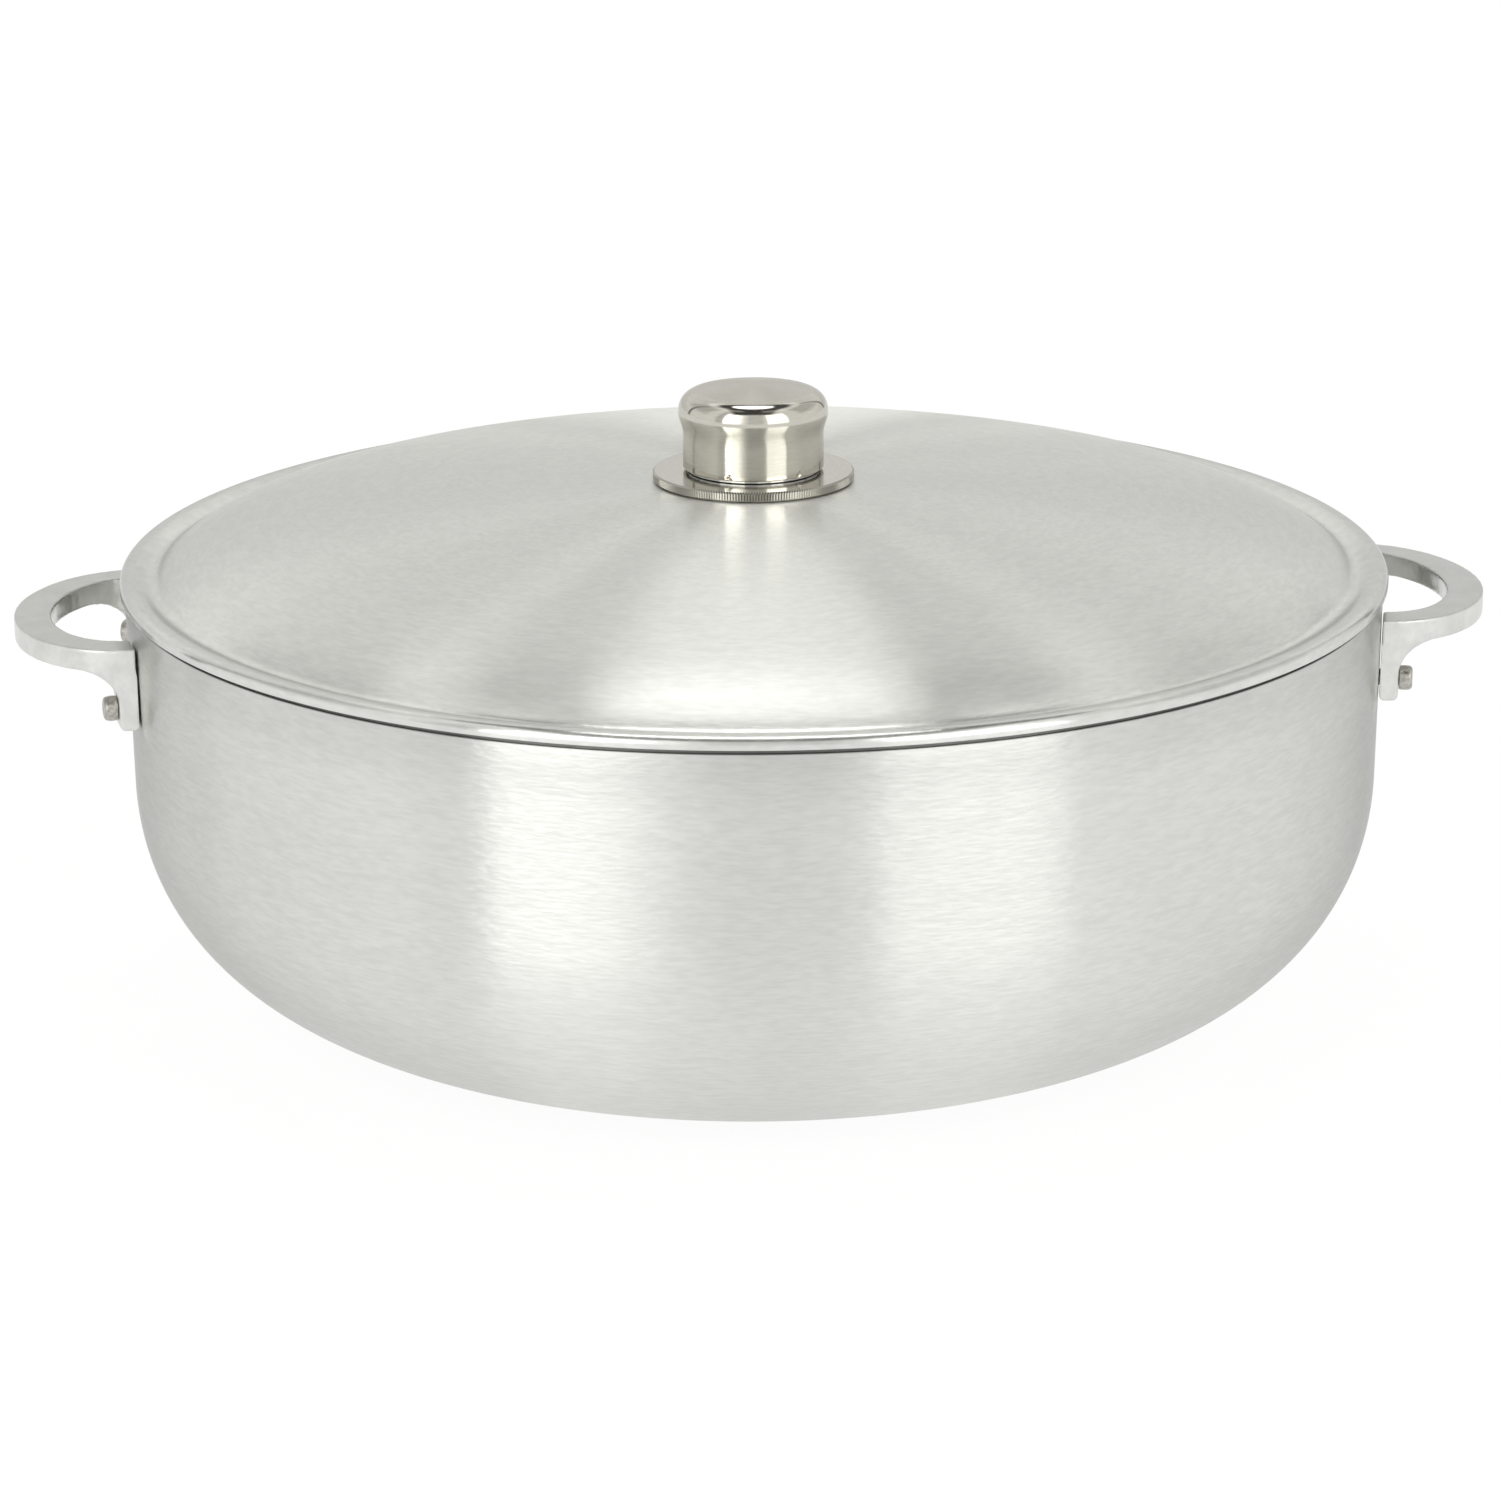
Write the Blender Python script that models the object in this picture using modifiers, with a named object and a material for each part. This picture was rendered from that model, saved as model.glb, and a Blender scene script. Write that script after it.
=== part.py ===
"""Wide, low cooking pot with a domed lid, two riveted loop handles and a steel lid knob.

Metres, +Z up. The origin is the centre of the flat base, and the handles lie on +X and -X.
The lid's pieces hang on one empty on the pot's axis, at the height of the rim it rests on.
"""

import math

import bmesh
import bpy
from mathutils import Vector

MM = 0.001
FIT_GAP = 0.3 * MM            # between pieces that touch or nearly touch
STEPS = 64                    # facets round the pot and the lid
DISC_STEPS = 48
SMALL_STEPS = 32
RIVET_STEPS = 16

# Pot shell: outside sizes, the inside follows at one wall thickness
POT_HEIGHT = 141.4 * MM
POT_RIM_RADIUS = 203.5 * MM
POT_WALL_RADIUS = 202.8 * MM  # where the straight wall leaves the round corner
POT_CORNER_WIDTH = 85.6 * MM
POT_CORNER_HEIGHT = 77.3 * MM
POT_CORNER_POWER = 2.14       # a little squarer than an ellipse
POT_THICKNESS = 3.0 * MM
RIM_STEP_WIDTH = 0.9 * MM     # the rim is stepped in, so that the lid's lip hooks over it
RIM_STEP_HEIGHT = 2.7 * MM
RIM_EASE = 0.4 * MM           # small bevels on the rim's edges

# Lid shell: outside surface, heights above the rim that the lid rests on
LID_RADIUS = 205.0 * MM
LID_THICKNESS = 1.5 * MM
LID_CROWN = 26.1 * MM
LID_FALL = 0.5                # the dome falls by LID_FALL * radius squared, in 1/m
LID_FLAT_RADIUS = 33.5 * MM   # flat seat for the knob's disc
LID_DOME_RADIUS = 150.0 * MM  # where the shoulder starts
LID_FOOT = (190.5 * MM, 1.9 * MM)
LID_FOOT_SLOPE = 0.8
LID_VALLEY = (194.8 * MM, -0.5 * MM)
LID_LIP_TOP = (200.4 * MM, 1.5 * MM)
LID_LIP_BOTTOM = -2.25 * MM
LID_LIP_ROUND = 2.6 * MM
SHOULDER_START_PULL = 21.0 * MM   # how far each end's tangent reaches into the shoulder's curve
SHOULDER_END_PULL = 8.0 * MM
VALLEY_PULL = 2.0 * MM

# Loop handles: plan measured outwards along X from the pot's axis
HANDLE_CENTRE = 203.0 * MM    # centre of both half ellipses of the loop
HANDLE_REACH = 36.7 * MM
HANDLE_HALF_WIDTH = 49.5 * MM
HANDLE_ROOT = 191.0 * MM      # inner end of the plan, hidden behind the wall's outer side
HOLE_REACH = 24.8 * MM
HOLE_HALF_WIDTH = 38.0 * MM
HANDLE_TOP = 129.2 * MM
HANDLE_THICKNESS = 7.4 * MM
FOOT_BOTTOM = 102.3 * MM
FOOT_OUTER_RADIUS = 209.5 * MM
FOOT_CORNER = 1.8 * MM
FOOT_FILLET_WIDTH = 12.0 * MM
FOOT_FILLET_HEIGHT = 10.8 * MM
CUT_ROOM = 10.0 * MM          # how far a cutting shape reaches past what it cuts

# Rivets
RIVET_ANGLE = math.radians(12.3)
RIVET_HEIGHT = 108.9 * MM
RIVET_SHANK_RADIUS = 2.6 * MM
RIVET_HEAD_RADIUS = 4.0 * MM
RIVET_HEAD_HEIGHT = 3.8 * MM
RIVET_TAIL_RADIUS = 5.2 * MM
RIVET_TAIL_HEIGHT = 1.8 * MM
RIVET_HEAD_ROUND = 1.3 * MM
RIVET_HEAD_LIFT = 0.5 * MM    # of the flat head above the round face of the foot
RIVET_PIN_LENGTH = 40.0 * MM

# Knob, heights above the rim
DISC_RADIUS = 32.6 * MM
DISC_THICKNESS = 3.2 * MM
CAP_SKIRT_RADIUS = 22.8 * MM
CAP_HEAD_RADIUS = 24.3 * MM
CAP_GAP = 1.1 * MM            # open groove between the disc and the skirt's edge
CAP_HEIGHT = 26.7 * MM
CAP_HEAD_HEIGHT = 18.0 * MM   # widest place of the head, above the skirt's edge
CAP_SKIRT_HEIGHT = 10.5 * MM
CAP_THICKNESS = 1.0 * MM
CAP_TOP_RISE = 1.9 * MM       # crown of the top above the edge of its rounding
CAP_TOP_RADIUS = 19.4 * MM
KNOB_EDGE = 0.5 * MM          # small bevels on the turned pieces of the knob
PLATE_THICKNESS = 1.6 * MM
BOSS_RADIUS = 6.0 * MM
BOSS_HEIGHT = 13.0 * MM
SCREW_RADIUS = 2.6 * MM
SCREW_HEAD_RADIUS = 5.4 * MM
SCREW_HEAD_HEIGHT = 3.4 * MM
SCREW_HEAD_ROUND = 1.2 * MM
SCREW_REACH = 15.0 * MM       # from the disc's underside up into the boss
THREAD_ROOM = 1.5 * MM        # solid end of the boss above its hole
SCREW_SLOT = (1.4 * MM, 1.3 * MM)
WASHER_RADIUS = 11.0 * MM
WASHER_THICKNESS = 1.2 * MM
LOCK_WASHER_RADIUS = 5.0 * MM
LOCK_WASHER_THICKNESS = 1.3 * MM
LOCK_WASHER_SPLIT = 0.9 * MM


# ---------------------------------------------------------------- scene and materials

def clear_scene():
    for obj in list(bpy.data.objects):
        bpy.data.objects.remove(obj, do_unlink=True)


def new_collection(name):
    collection = bpy.data.collections.new(name)
    bpy.context.scene.collection.children.link(collection)
    return collection


def metal(name, colour, roughness):
    material = bpy.data.materials.new(name)
    material.use_nodes = True
    shader = material.node_tree.nodes["Principled BSDF"]
    shader.inputs["Base Color"].default_value = (*colour, 1.0)
    shader.inputs["Roughness"].default_value = roughness
    shader.inputs["Metallic"].default_value = 1.0
    return material


# ---------------------------------------------------------------- outlines

def bezier(start, start_pull, end_pull, end, count):
    """Points along a cubic curve, without its first point."""
    points = []
    for step in range(1, count + 1):
        t = step / count
        weights = ((1 - t) ** 3, 3 * t * (1 - t) ** 2, 3 * t * t * (1 - t), t ** 3)
        corners = (start, start_pull, end_pull, end)
        points.append(tuple(sum(w * c[i] for w, c in zip(weights, corners)) for i in (0, 1)))
    return points


def arc(centre, width, height, start, end, count):
    """Points along part of an ellipse, both ends included. Angles are in degrees."""
    points = []
    for step in range(count + 1):
        angle = math.radians(start + (end - start) * step / count)
        points.append((centre[0] + width * math.cos(angle), centre[1] + height * math.sin(angle)))
    return points


def round_corner(inset, count):
    """The pot's corner from the straight wall down to the flat base, inset from the outside."""
    centre_radius = POT_WALL_RADIUS - POT_CORNER_WIDTH
    width = POT_CORNER_WIDTH - inset
    height = POT_CORNER_HEIGHT - inset
    points = []
    for step in range(count + 1):
        angle = math.radians(90.0 * step / count)
        across = math.cos(angle) ** (2 / POT_CORNER_POWER)
        down = math.sin(angle) ** (2 / POT_CORNER_POWER)
        points.append((centre_radius + width * across, POT_CORNER_HEIGHT - height * down))
    return points


def pot_profile():
    """From the middle of the floor out, up the inside, over the rim and down the outside."""
    inside = list(reversed(round_corner(POT_THICKNESS, 8)))
    outside = round_corner(0.0, 9)
    step_radius = POT_RIM_RADIUS - RIM_STEP_WIDTH
    rim = [
        (POT_RIM_RADIUS - POT_THICKNESS, POT_HEIGHT - RIM_EASE),
        (POT_RIM_RADIUS - POT_THICKNESS + RIM_EASE, POT_HEIGHT),
        (step_radius - RIM_EASE, POT_HEIGHT),
        (step_radius, POT_HEIGHT - RIM_EASE),
        (step_radius, POT_HEIGHT - RIM_STEP_HEIGHT),
        (POT_RIM_RADIUS - RIM_EASE, POT_HEIGHT - RIM_STEP_HEIGHT),
        (POT_RIM_RADIUS, POT_HEIGHT - RIM_STEP_HEIGHT - RIM_EASE),
    ]
    return [(0.0, POT_THICKNESS), *inside, *rim, *outside, (0.0, 0.0)]


def lid_profile():
    """Outside of the lid, from the edge of its middle hole to the bottom of its lip."""
    def dome(radius):
        return (radius, LID_CROWN - LID_FALL * (radius ** 2 - LID_FLAT_RADIUS ** 2))

    dome_radii = [LID_FLAT_RADIUS + (LID_DOME_RADIUS - LID_FLAT_RADIUS) * i / 3 for i in range(4)]
    shoulder_start = dome(LID_DOME_RADIUS)
    dome_slope = 2 * LID_FALL * LID_DOME_RADIUS
    foot_pull = SHOULDER_END_PULL
    shoulder = bezier(
        shoulder_start,
        (shoulder_start[0] + SHOULDER_START_PULL, shoulder_start[1] - SHOULDER_START_PULL * dome_slope),
        (LID_FOOT[0] - foot_pull, LID_FOOT[1] + foot_pull * LID_FOOT_SLOPE),
        LID_FOOT,
        5,
    )
    into_valley = bezier(
        LID_FOOT,
        (LID_FOOT[0] + VALLEY_PULL, LID_FOOT[1] - VALLEY_PULL * LID_FOOT_SLOPE),
        (LID_VALLEY[0] - VALLEY_PULL, LID_VALLEY[1]),
        LID_VALLEY,
        2,
    )
    up_to_lip = bezier(
        LID_VALLEY,
        (LID_VALLEY[0] + VALLEY_PULL, LID_VALLEY[1]),
        (LID_LIP_TOP[0] - VALLEY_PULL, LID_LIP_TOP[1]),
        LID_LIP_TOP,
        2,
    )
    lip_centre = (LID_RADIUS - LID_LIP_ROUND, LID_LIP_TOP[1] - LID_LIP_ROUND)
    return [
        (SCREW_RADIUS + FIT_GAP, LID_CROWN),
        *(dome(radius) for radius in dome_radii),
        *shoulder,
        *into_valley,
        *up_to_lip,
        *arc(lip_centre, LID_LIP_ROUND, LID_LIP_ROUND, 90, 0, 3),
        (LID_RADIUS, LID_LIP_BOTTOM),
    ]


def cap_profile():
    """Outside of the knob's cap, from its crown down to the edge of its skirt."""
    middle = (0.0, CAP_HEIGHT)
    top_edge = (CAP_TOP_RADIUS, CAP_HEIGHT - CAP_TOP_RISE)
    widest = (CAP_HEAD_RADIUS, CAP_HEAD_HEIGHT)
    skirt_top = (CAP_SKIRT_RADIUS, CAP_SKIRT_HEIGHT)
    crown_pulls = ((8.5 * MM, CAP_HEIGHT), (13.4 * MM, top_edge[1] + 1.0 * MM))
    side_pulls = ((21.4 * MM, top_edge[1] - 0.4 * MM), (CAP_HEAD_RADIUS, widest[1] + 4.6 * MM))
    waist_pulls = ((CAP_HEAD_RADIUS, widest[1] - 2.6 * MM), (CAP_SKIRT_RADIUS, skirt_top[1] + 4.0 * MM))
    return [
        middle,
        *bezier(middle, *crown_pulls, top_edge, 3),
        *bezier(top_edge, *side_pulls, widest, 4),
        *bezier(widest, *waist_pulls, skirt_top, 3),
        (CAP_SKIRT_RADIUS, 0.0),
    ]


def foot_section():
    """Radius and height outline of a handle: the foot on the wall and the flat bar above it."""
    def wall(height):
        along = (height - POT_CORNER_HEIGHT) / (POT_HEIGHT - POT_CORNER_HEIGHT)
        return POT_WALL_RADIUS + (POT_RIM_RADIUS - POT_WALL_RADIUS) * along + FIT_GAP

    underside = HANDLE_TOP - HANDLE_THICKNESS
    far = HANDLE_CENTRE + HANDLE_REACH + CUT_ROOM
    fillet_centre = (FOOT_OUTER_RADIUS + FOOT_FILLET_WIDTH, underside - FOOT_FILLET_HEIGHT)
    fillet = arc(fillet_centre, FOOT_FILLET_WIDTH, FOOT_FILLET_HEIGHT, 90, 180, 6)
    outer_toe = (FOOT_OUTER_RADIUS - FOOT_CORNER, FOOT_BOTTOM + FOOT_CORNER)
    inner_toe = (wall(FOOT_BOTTOM) + FOOT_CORNER, FOOT_BOTTOM + FOOT_CORNER)
    return [
        (wall(HANDLE_TOP), HANDLE_TOP),
        (far, HANDLE_TOP),
        (far, underside),
        *fillet,
        *arc(outer_toe, FOOT_CORNER, FOOT_CORNER, 0, -90, 3),
        *arc(inner_toe, FOOT_CORNER, FOOT_CORNER, -90, -180, 3),
        (wall(HANDLE_TOP), HANDLE_TOP),
    ]


def loop_plan():
    """Outline of the handle seen from above: half an ellipse outside, half an ellipse inside."""
    centre = (HANDLE_CENTRE, 0.0)
    return [
        (HANDLE_ROOT, -HANDLE_HALF_WIDTH),
        *arc(centre, HANDLE_REACH, HANDLE_HALF_WIDTH, -90, 90, 28),
        (HANDLE_ROOT, HANDLE_HALF_WIDTH),
        (HANDLE_ROOT, HOLE_HALF_WIDTH),
        *arc(centre, HOLE_REACH, HOLE_HALF_WIDTH, 90, -90, 20),
        (HANDLE_ROOT, -HOLE_HALF_WIDTH),
    ]


# ---------------------------------------------------------------- solids

def add_object(name, data, collection, parent=None):
    obj = bpy.data.objects.new(name, data)
    collection.objects.link(obj)
    obj.parent = parent
    return obj


def outline_mesh(name, points):
    """A line of points in the XZ plane, ready to be turned about Z."""
    mesh = bpy.data.meshes.new(name)
    edges = [(i, i + 1) for i in range(len(points) - 1)]
    mesh.from_pydata([(radius, 0.0, height) for radius, height in points], edges, [])
    return mesh


def turn(obj, steps):
    screw = obj.modifiers.new("turn", "SCREW")
    screw.axis = "Z"
    screw.angle = math.radians(360)
    screw.steps = steps
    screw.render_steps = steps
    screw.use_merge_vertices = True
    screw.merge_threshold = 0.01 * MM
    screw.use_smooth_shade = True


def turned(name, points, collection, material, steps=STEPS, parent=None):
    obj = add_object(name, outline_mesh(name, points), collection, parent)
    obj.data.materials.append(material)
    turn(obj, steps)
    return obj


def thicken(obj, thickness):
    """Gives a turned surface its sheet thickness, on its inner side."""
    shell = obj.modifiers.new("thickness", "SOLIDIFY")
    shell.thickness = thickness
    shell.offset = -1.0
    shell.use_even_offset = True


def cut(obj, cutter, operation="DIFFERENCE"):
    boolean = obj.modifiers.new(cutter.name, "BOOLEAN")
    boolean.operation = operation
    boolean.object = cutter
    boolean.solver = "EXACT"


def make_cutter(obj):
    obj.hide_render = True
    obj.display_type = "WIRE"
    return obj


def cylinder(name, radius, depth, location, direction, collection, vertices=20):
    """A closed cylinder centred on a point, with its axis along a direction."""
    mesh = bpy.data.meshes.new(name)
    shape = bmesh.new()
    bmesh.ops.create_cone(
        shape, cap_ends=True, segments=vertices, radius1=radius, radius2=radius, depth=depth
    )
    shape.to_mesh(mesh)
    shape.free()
    obj = add_object(name, mesh, collection)
    obj.location = location
    obj.rotation_euler = Vector(direction).to_track_quat("Z", "Y").to_euler()
    return obj


def box(name, size, location, collection, parent=None):
    mesh = bpy.data.meshes.new(name)
    shape = bmesh.new()
    bmesh.ops.create_cube(shape, size=1.0)
    bmesh.ops.scale(shape, vec=Vector(size), verts=shape.verts)
    shape.to_mesh(mesh)
    shape.free()
    obj = add_object(name, mesh, collection, parent)
    obj.location = location
    return obj


def flat_plate(name, outline, thickness, collection):
    """A flat outline made a plate with its middle at height zero, as a closed mesh."""
    curve = bpy.data.curves.new(name, "CURVE")
    curve.dimensions = "2D"
    curve.fill_mode = "BOTH"
    curve.extrude = thickness / 2
    spline = curve.splines.new("POLY")
    spline.points.add(len(outline) - 1)
    for point, (x, y) in zip(spline.points, outline):
        point.co = (x, y, 0.0, 1.0)
    spline.use_cyclic_u = True
    drawn = add_object(name + "_curve", curve, collection)
    graph = bpy.context.evaluated_depsgraph_get()
    mesh = bpy.data.meshes.new_from_object(drawn.evaluated_get(graph))
    mesh.name = name
    shape = bmesh.new()
    shape.from_mesh(mesh)
    bmesh.ops.remove_doubles(shape, verts=shape.verts, dist=0.001 * MM)
    bmesh.ops.recalc_face_normals(shape, faces=shape.faces)
    shape.to_mesh(mesh)
    shape.free()
    obj = add_object(name, mesh, collection)
    obj.matrix_world = drawn.matrix_world
    bpy.data.objects.remove(drawn)
    return obj


# ---------------------------------------------------------------- pieces

def rivet_places():
    """Name and direction, seen from the pot's axis, of each rivet."""
    places = []
    for side, side_angle in (("right", 0.0), ("left", math.pi)):
        for end, turn_by in (("front", -RIVET_ANGLE), ("back", RIVET_ANGLE)):
            swing = turn_by if side == "right" else -turn_by
            angle = side_angle + swing
            places.append((side, end, Vector((math.cos(angle), math.sin(angle), 0.0))))
    return places


def make_rivet_cutters(cutters):
    """One long pin through the wall and the foot at each rivet, by handle side."""
    found = {"left": [], "right": []}
    for side, end, outwards in rivet_places():
        middle = outwards * POT_RIM_RADIUS + Vector((0, 0, RIVET_HEIGHT))
        pin = cylinder(
            f"cut_{side}_{end}", RIVET_SHANK_RADIUS + FIT_GAP, RIVET_PIN_LENGTH, middle, outwards, cutters
        )
        found[side].append(make_cutter(pin))
    return found


def make_pot(parts, metals, rivet_cutters):
    pot = turned("pot_shell", pot_profile(), parts, metals["pot"])
    for pin in rivet_cutters["left"] + rivet_cutters["right"]:
        cut(pot, pin)


def make_handles(parts, cutters, metals, rivet_cutters):
    """Each handle is the loop's plan, cut to the turned section of its feet and bar."""
    section = turned("handle_section", foot_section(), cutters, metals["handle"], steps=2 * STEPS)
    make_cutter(section)
    plate_height = HANDLE_TOP + CUT_ROOM
    for side, facing in (("right", 0.0), ("left", math.pi)):
        handle = flat_plate(f"handle_{side}", loop_plan(), plate_height, parts)
        handle.data.materials.append(metals["handle"])
        handle.location = (0.0, 0.0, plate_height / 2)
        handle.rotation_euler = (0.0, 0.0, facing)
        cut(handle, section, "INTERSECT")
        for pin in rivet_cutters[side]:
            cut(handle, pin)


def rivet_profile():
    """Turned outline along the rivet, measured outwards from the inside of the wall."""
    wall_inside = POT_WALL_RADIUS - POT_THICKNESS
    tail_top = -FIT_GAP
    foot_outside = FOOT_OUTER_RADIUS - wall_inside + RIVET_HEAD_LIFT
    head_top = foot_outside + RIVET_HEAD_HEIGHT
    head_corner = (RIVET_HEAD_RADIUS - RIVET_HEAD_ROUND, head_top - RIVET_HEAD_ROUND)
    tail = arc((0.0, tail_top), RIVET_TAIL_RADIUS, RIVET_TAIL_HEIGHT, 0, -90, 4)
    tail[-1] = (0.0, tail_top - RIVET_TAIL_HEIGHT)
    return [
        (0.0, head_top),
        *arc(head_corner, RIVET_HEAD_ROUND, RIVET_HEAD_ROUND, 90, 0, 3),
        (RIVET_HEAD_RADIUS, foot_outside),
        (RIVET_SHANK_RADIUS, foot_outside),
        (RIVET_SHANK_RADIUS, tail_top),
        *tail,
    ]


def make_rivets(parts, metals):
    wall_inside = POT_WALL_RADIUS - POT_THICKNESS
    mesh = outline_mesh("rivet", rivet_profile())
    mesh.materials.append(metals["rivet"])
    for side, end, outwards in rivet_places():
        rivet = add_object(f"rivet_{side}_{end}", mesh, parts)
        rivet.location = outwards * wall_inside + Vector((0, 0, RIVET_HEIGHT))
        rivet.rotation_euler = outwards.to_track_quat("Z", "Y").to_euler()
        turn(rivet, RIVET_STEPS)


def make_lid(parts, metals, lid_frame):
    lid = turned("lid_shell", lid_profile(), parts, metals["lid"], parent=lid_frame)
    thicken(lid, LID_THICKNESS)
    lid.location.z = FIT_GAP


def make_knob_disc(parts, metals, lid_frame, bottom, top):
    hole = SCREW_RADIUS + FIT_GAP
    outline = [
        (hole, top),
        (DISC_RADIUS - KNOB_EDGE, top),
        (DISC_RADIUS, top - KNOB_EDGE),
        (DISC_RADIUS, bottom + KNOB_EDGE),
        (DISC_RADIUS - KNOB_EDGE, bottom),
        (hole, bottom),
        (hole, top),
    ]
    turned("knob_disc", outline, parts, metals["knob"], steps=DISC_STEPS, parent=lid_frame)


def make_knob_cap(parts, metals, lid_frame, disc_top):
    """The hollow cap, and the plate with a threaded boss that closes its mouth."""
    cap = turned("knob_cap", cap_profile(), parts, metals["knob"], steps=SMALL_STEPS, parent=lid_frame)
    thicken(cap, CAP_THICKNESS)
    cap.location.z = disc_top + CAP_GAP

    hole = SCREW_RADIUS + FIT_GAP
    plate_radius = CAP_SKIRT_RADIUS - CAP_THICKNESS - FIT_GAP
    plate_bottom = FIT_GAP
    plate_top = plate_bottom + PLATE_THICKNESS
    boss_top = plate_top + BOSS_HEIGHT
    outline = [
        (0.0, boss_top),
        (BOSS_RADIUS - KNOB_EDGE, boss_top),
        (BOSS_RADIUS, boss_top - KNOB_EDGE),
        (BOSS_RADIUS, plate_top),
        (plate_radius, plate_top),
        (plate_radius, plate_bottom),
        (hole, plate_bottom),
        (hole, boss_top - THREAD_ROOM),
        (0.0, boss_top - THREAD_ROOM),
    ]
    plate = turned(
        "knob_base_plate", outline, parts, metals["fixing"], steps=SMALL_STEPS, parent=lid_frame
    )
    plate.location.z = disc_top


def make_washer(name, radius, top, bottom, parts, metals, lid_frame):
    hole = SCREW_RADIUS + FIT_GAP
    ring = [(hole, top), (radius, top), (radius, bottom), (hole, bottom), (hole, top)]
    return turned(name, ring, parts, metals["fixing"], steps=SMALL_STEPS, parent=lid_frame)


def make_screw(parts, cutters, metals, lid_frame, head_top, screw_top):
    head_bottom = head_top - SCREW_HEAD_HEIGHT
    head_corner = (SCREW_HEAD_RADIUS - SCREW_HEAD_ROUND, head_bottom + SCREW_HEAD_ROUND)
    outline = [
        (0.0, screw_top),
        (SCREW_RADIUS - KNOB_EDGE, screw_top),
        (SCREW_RADIUS, screw_top - KNOB_EDGE),
        (SCREW_RADIUS, head_top),
        (SCREW_HEAD_RADIUS, head_top),
        *arc(head_corner, SCREW_HEAD_ROUND, SCREW_HEAD_ROUND, 0, -90, 3),
        (0.0, head_bottom),
    ]
    screw = turned("knob_screw", outline, parts, metals["fixing"], steps=SMALL_STEPS, parent=lid_frame)
    slot_width, slot_depth = SCREW_SLOT
    slot = box(
        "cut_screw_slot",
        (3 * SCREW_HEAD_RADIUS, slot_width, 2 * slot_depth),
        (0.0, 0.0, head_bottom),
        cutters,
        lid_frame,
    )
    cut(screw, make_cutter(slot))


def make_knob(parts, cutters, metals, lid_frame):
    """The disc and the cap above the lid, and the screw that holds them from below."""
    disc_bottom = LID_CROWN + 2 * FIT_GAP
    disc_top = disc_bottom + DISC_THICKNESS
    make_knob_disc(parts, metals, lid_frame, disc_bottom, disc_top)
    make_knob_cap(parts, metals, lid_frame, disc_top)

    washer_top = LID_CROWN - LID_THICKNESS
    washer_bottom = washer_top - WASHER_THICKNESS
    make_washer("knob_washer", WASHER_RADIUS, washer_top, washer_bottom, parts, metals, lid_frame)

    lock_top = washer_bottom - FIT_GAP
    lock_bottom = lock_top - LOCK_WASHER_THICKNESS
    lock_washer = make_washer(
        "knob_lock_washer", LOCK_WASHER_RADIUS, lock_top, lock_bottom, parts, metals, lid_frame
    )
    split = box(
        "cut_lock_washer",
        (2 * LOCK_WASHER_RADIUS, LOCK_WASHER_SPLIT, 4 * LOCK_WASHER_THICKNESS),
        (LOCK_WASHER_RADIUS, 0.0, (lock_top + lock_bottom) / 2),
        cutters,
        lid_frame,
    )
    cut(lock_washer, make_cutter(split))

    make_screw(parts, cutters, metals, lid_frame, lock_bottom - FIT_GAP, disc_bottom + SCREW_REACH)


def main():
    clear_scene()
    parts = new_collection("lidded_cooking_pot")
    cutters = new_collection("cutters")
    metals = {
        "pot": metal("brushed_aluminium", (0.66, 0.66, 0.64), 0.34),
        "lid": metal("brushed_lid_aluminium", (0.67, 0.67, 0.65), 0.32),
        "handle": metal("cast_aluminium", (0.64, 0.64, 0.61), 0.48),
        "rivet": metal("rivet_aluminium", (0.45, 0.44, 0.41), 0.42),
        "knob": metal("polished_stainless_steel", (0.62, 0.60, 0.56), 0.12),
        "fixing": metal("plated_steel", (0.55, 0.55, 0.54), 0.35),
    }
    lid_frame = add_object("lid_frame", None, parts)
    lid_frame.location = (0.0, 0.0, POT_HEIGHT)

    rivet_cutters = make_rivet_cutters(cutters)
    make_pot(parts, metals, rivet_cutters)
    make_handles(parts, cutters, metals, rivet_cutters)
    make_rivets(parts, metals)
    make_lid(parts, metals, lid_frame)
    make_knob(parts, cutters, metals, lid_frame)


main()
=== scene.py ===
"""Looks for the wide lidded cooking pot: fine meshes, metals, floor, studio light and camera.

Metres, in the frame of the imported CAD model: +Z up, the pot's axis on Z, the handles on +X and -X.
"""

import math

import bmesh
import bpy
from mathutils import Matrix, Vector, noise


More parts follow.
